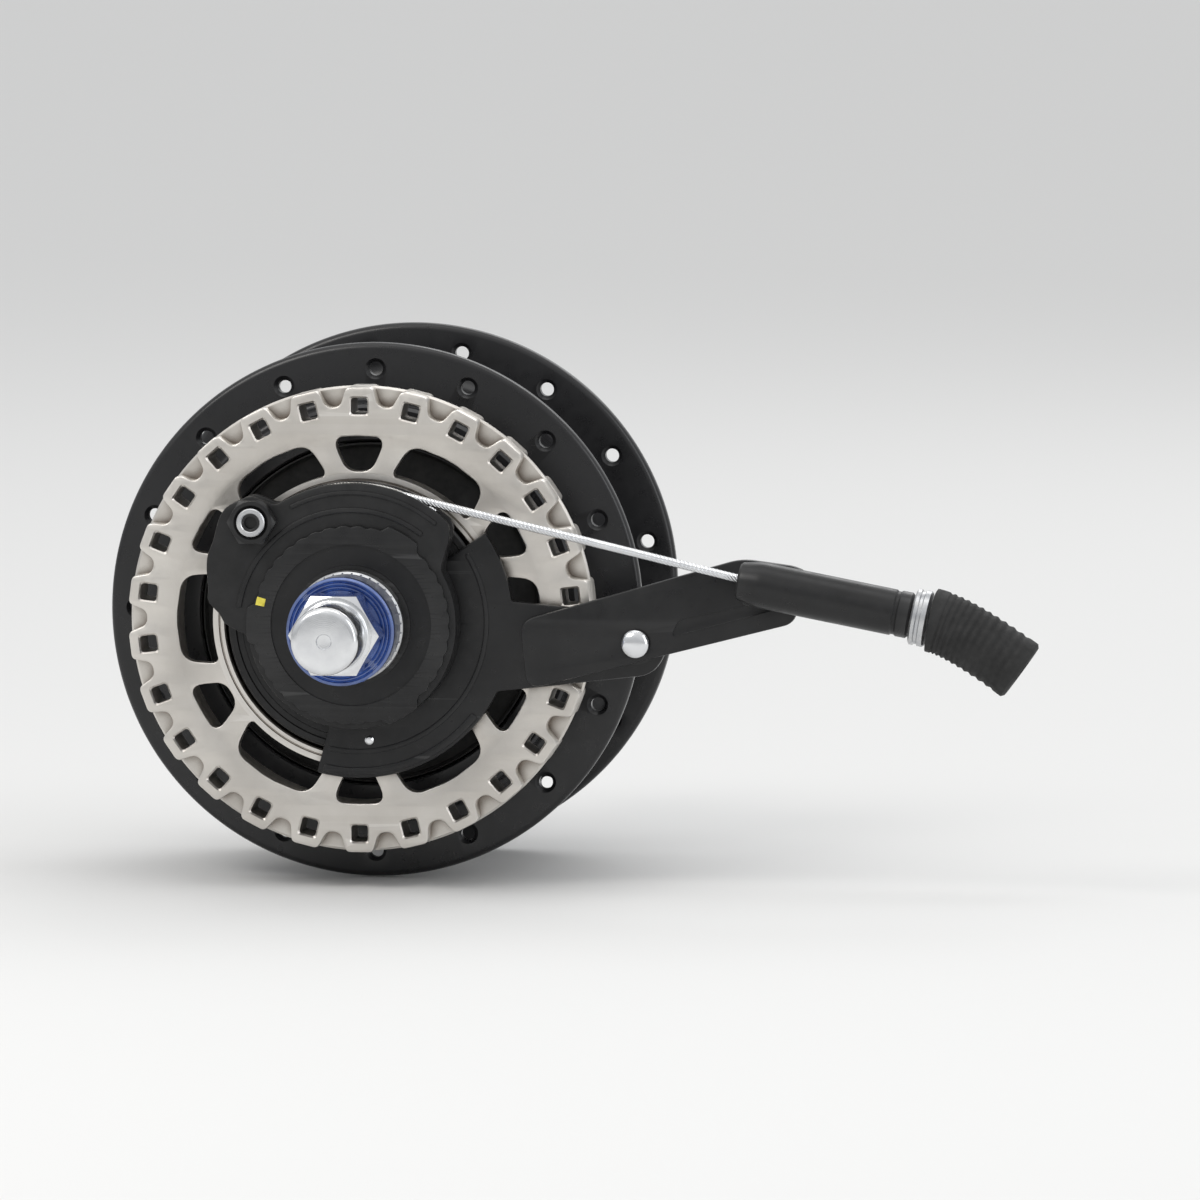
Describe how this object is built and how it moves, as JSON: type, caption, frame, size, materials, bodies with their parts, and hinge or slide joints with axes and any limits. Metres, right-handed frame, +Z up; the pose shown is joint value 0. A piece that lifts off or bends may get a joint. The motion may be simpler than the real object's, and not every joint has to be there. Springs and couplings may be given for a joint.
{
  "type": "bicycle hub gear",
  "caption": "Internally geared bicycle rear hub with spoked-wheel flanges, a toothed belt sprocket, splined brake-rotor seat and a cable-operated gear selector.",
  "frame": {"origin": "on the axle's axis, midway between the two lock-nut faces that the frame's dropouts bear on", "axes": "+Y along the axle towards the brake-rotor side, -Y is the drive side, +X forward on the bicycle, +Z up"},
  "size_m": [0.183, 0.1982, 0.103],
  "materials": {
    "plated_steel": "bright plated steel",
    "zinc_steel": "zinc plated, satin",
    "blue_plate": "blue plated steel, satin",
    "green_plate": "green plated steel, satin",
    "black_aluminium": "black satin anodised aluminium",
    "black_steel": "black coated steel",
    "black_plastic": "moulded, fine grain",
    "black_rubber": "matte rubber",
    "blasted_steel": "bead-blasted stainless steel, warm",
    "gear_steel": "hardened steel, oiled",
    "carrier_steel": "hardened steel, oiled",
    "bearing_steel": "polished bearing steel"
  },
  "bodies": {
    "root": {"axle": "plated_steel", "right_lock_nut": "zinc_steel", "left_lock_nut": "zinc_steel", "right_non_turn_washer": "blue_plate", "left_non_turn_washer": "green_plate", "right_cap_nut": "plated_steel", "left_cap_nut": "plated_steel", "left_cone": "zinc_steel", "left_dust_cap": "black_aluminium", "left_spacer": "zinc_steel", "right_cone": "zinc_steel", "sun_gear_1": "gear_steel", "sun_gear_4": "gear_steel", "sun_1_pawl": "bearing_steel", "sun_4_pawl": "bearing_steel", "joint_bracket": "black_steel", "bracket_arm": "black_steel", "arm_rivet": "plated_steel", "casing_holder": "black_steel", "casing_ferrule": "zinc_steel", "cable_bellow": "black_rubber", "joint_fixing_ring": "black_steel", "inner_cable": "plated_steel"},
    "shell": {"hub_shell": "black_aluminium", "left_ball_cup": "bearing_steel", "right_ball_cup": "bearing_steel", "shell_dust_seal": "black_rubber", "ring_gear_2": "gear_steel", "roller_clutch": "bearing_steel"},
    "driver": {"driver": "gear_steel", "ring_gear_1": "gear_steel", "belt_sprocket": "blasted_steel", "sprocket_snap_ring": "black_steel", "driver_cap": "black_plastic"},
    "carriers": {"stage_1_carrier": "carrier_steel", "stage_2_carrier": "carrier_steel"},
    "planet_1a": {"stage_1_planet_1": "gear_steel"},
    "planet_1b": {"stage_1_planet_2": "gear_steel"},
    "planet_1c": {"stage_1_planet_3": "gear_steel"},
    "planet_2a": {"stage_2_planet_1": "gear_steel"},
    "planet_2b": {"stage_2_planet_2": "gear_steel"},
    "planet_2c": {"stage_2_planet_3": "gear_steel"},
    "free_sun_2": {"sun_gear_2": "gear_steel"},
    "free_sun_3": {"sun_gear_3": "gear_steel"},
    "left_balls": {"left_ball_retainer": "bearing_steel"},
    "right_balls": {"right_ball_retainer": "bearing_steel"},
    "driver_balls": {"driver_ball_retainer": "bearing_steel"},
    "selector": {"shift_pulley": "black_plastic", "cable_clamp_bolt": "black_steel", "cable_clamp_nut": "black_steel", "cable_wrap": "plated_steel", "control_sleeve": "zinc_steel"}
  },
  "joints": [
    {"name": "shell_spin", "type": "hinge", "parent": "root", "child": "shell", "pos_m": [0, 0, 0], "axis": [0, 1, 0], "continuous": true},
    {"name": "driver_spin", "type": "hinge", "parent": "root", "child": "driver", "pos_m": [0, 0, 0], "axis": [0, 1, 0], "continuous": true},
    {"name": "carrier_spin", "type": "hinge", "parent": "root", "child": "carriers", "pos_m": [0, 0, 0], "axis": [0, 1, 0], "continuous": true},
    {"name": "planet_1a_spin", "type": "hinge", "parent": "carriers", "child": "planet_1a", "pos_m": [0, 0, 0.02015], "axis": [0, 1, 0], "continuous": true},
    {"name": "planet_1b_spin", "type": "hinge", "parent": "carriers", "child": "planet_1b", "pos_m": [-0.01745, 0, -0.01008], "axis": [0, 1, 0], "continuous": true},
    {"name": "planet_1c_spin", "type": "hinge", "parent": "carriers", "child": "planet_1c", "pos_m": [0.01745, 0, -0.01008], "axis": [0, 1, 0], "continuous": true},
    {"name": "planet_2a_spin", "type": "hinge", "parent": "carriers", "child": "planet_2a", "pos_m": [0, 0, 0.02048], "axis": [0, 1, 0], "continuous": true},
    {"name": "planet_2b_spin", "type": "hinge", "parent": "carriers", "child": "planet_2b", "pos_m": [-0.01773, 0, -0.01024], "axis": [0, 1, 0], "continuous": true},
    {"name": "planet_2c_spin", "type": "hinge", "parent": "carriers", "child": "planet_2c", "pos_m": [0.01773, 0, -0.01024], "axis": [0, 1, 0], "continuous": true},
    {"name": "sun_2_spin", "type": "hinge", "parent": "root", "child": "free_sun_2", "pos_m": [0, 0, 0], "axis": [0, 1, 0], "continuous": true},
    {"name": "sun_3_spin", "type": "hinge", "parent": "root", "child": "free_sun_3", "pos_m": [0, 0, 0], "axis": [0, 1, 0], "continuous": true},
    {"name": "left_balls_spin", "type": "hinge", "parent": "root", "child": "left_balls", "pos_m": [0, 0, 0], "axis": [0, 1, 0], "continuous": true},
    {"name": "right_balls_spin", "type": "hinge", "parent": "root", "child": "right_balls", "pos_m": [0, 0, 0], "axis": [0, 1, 0], "continuous": true},
    {"name": "driver_balls_spin", "type": "hinge", "parent": "root", "child": "driver_balls", "pos_m": [0, 0, 0], "axis": [0, 1, 0], "continuous": true},
    {"name": "selector_turn", "type": "hinge", "parent": "root", "child": "selector", "pos_m": [0, 0, 0], "axis": [0, 1, 0], "range_deg": [-21, 29]}
  ],
  "couplings": [
    {"joint": "driver_spin", "follows": "shell_spin", "ratio": 1.168},
    {"joint": "carrier_spin", "follows": "shell_spin", "ratio": 0.61538},
    {"joint": "planet_1a_spin", "follows": "shell_spin", "ratio": 2.1099},
    {"joint": "planet_1b_spin", "follows": "shell_spin", "ratio": 2.1099},
    {"joint": "planet_1c_spin", "follows": "shell_spin", "ratio": 2.1099},
    {"joint": "planet_2a_spin", "follows": "shell_spin", "ratio": 2.0513},
    {"joint": "planet_2b_spin", "follows": "shell_spin", "ratio": 2.0513},
    {"joint": "planet_2c_spin", "follows": "shell_spin", "ratio": 2.0513},
    {"joint": "sun_2_spin", "follows": "shell_spin", "ratio": -1.1429},
    {"joint": "sun_3_spin", "follows": "shell_spin", "ratio": -0.2963},
    {"joint": "left_balls_spin", "follows": "shell_spin", "ratio": 0.57315},
    {"joint": "right_balls_spin", "follows": "shell_spin", "ratio": 1.0787},
    {"joint": "driver_balls_spin", "follows": "shell_spin", "ratio": 0.65404}
  ]
}
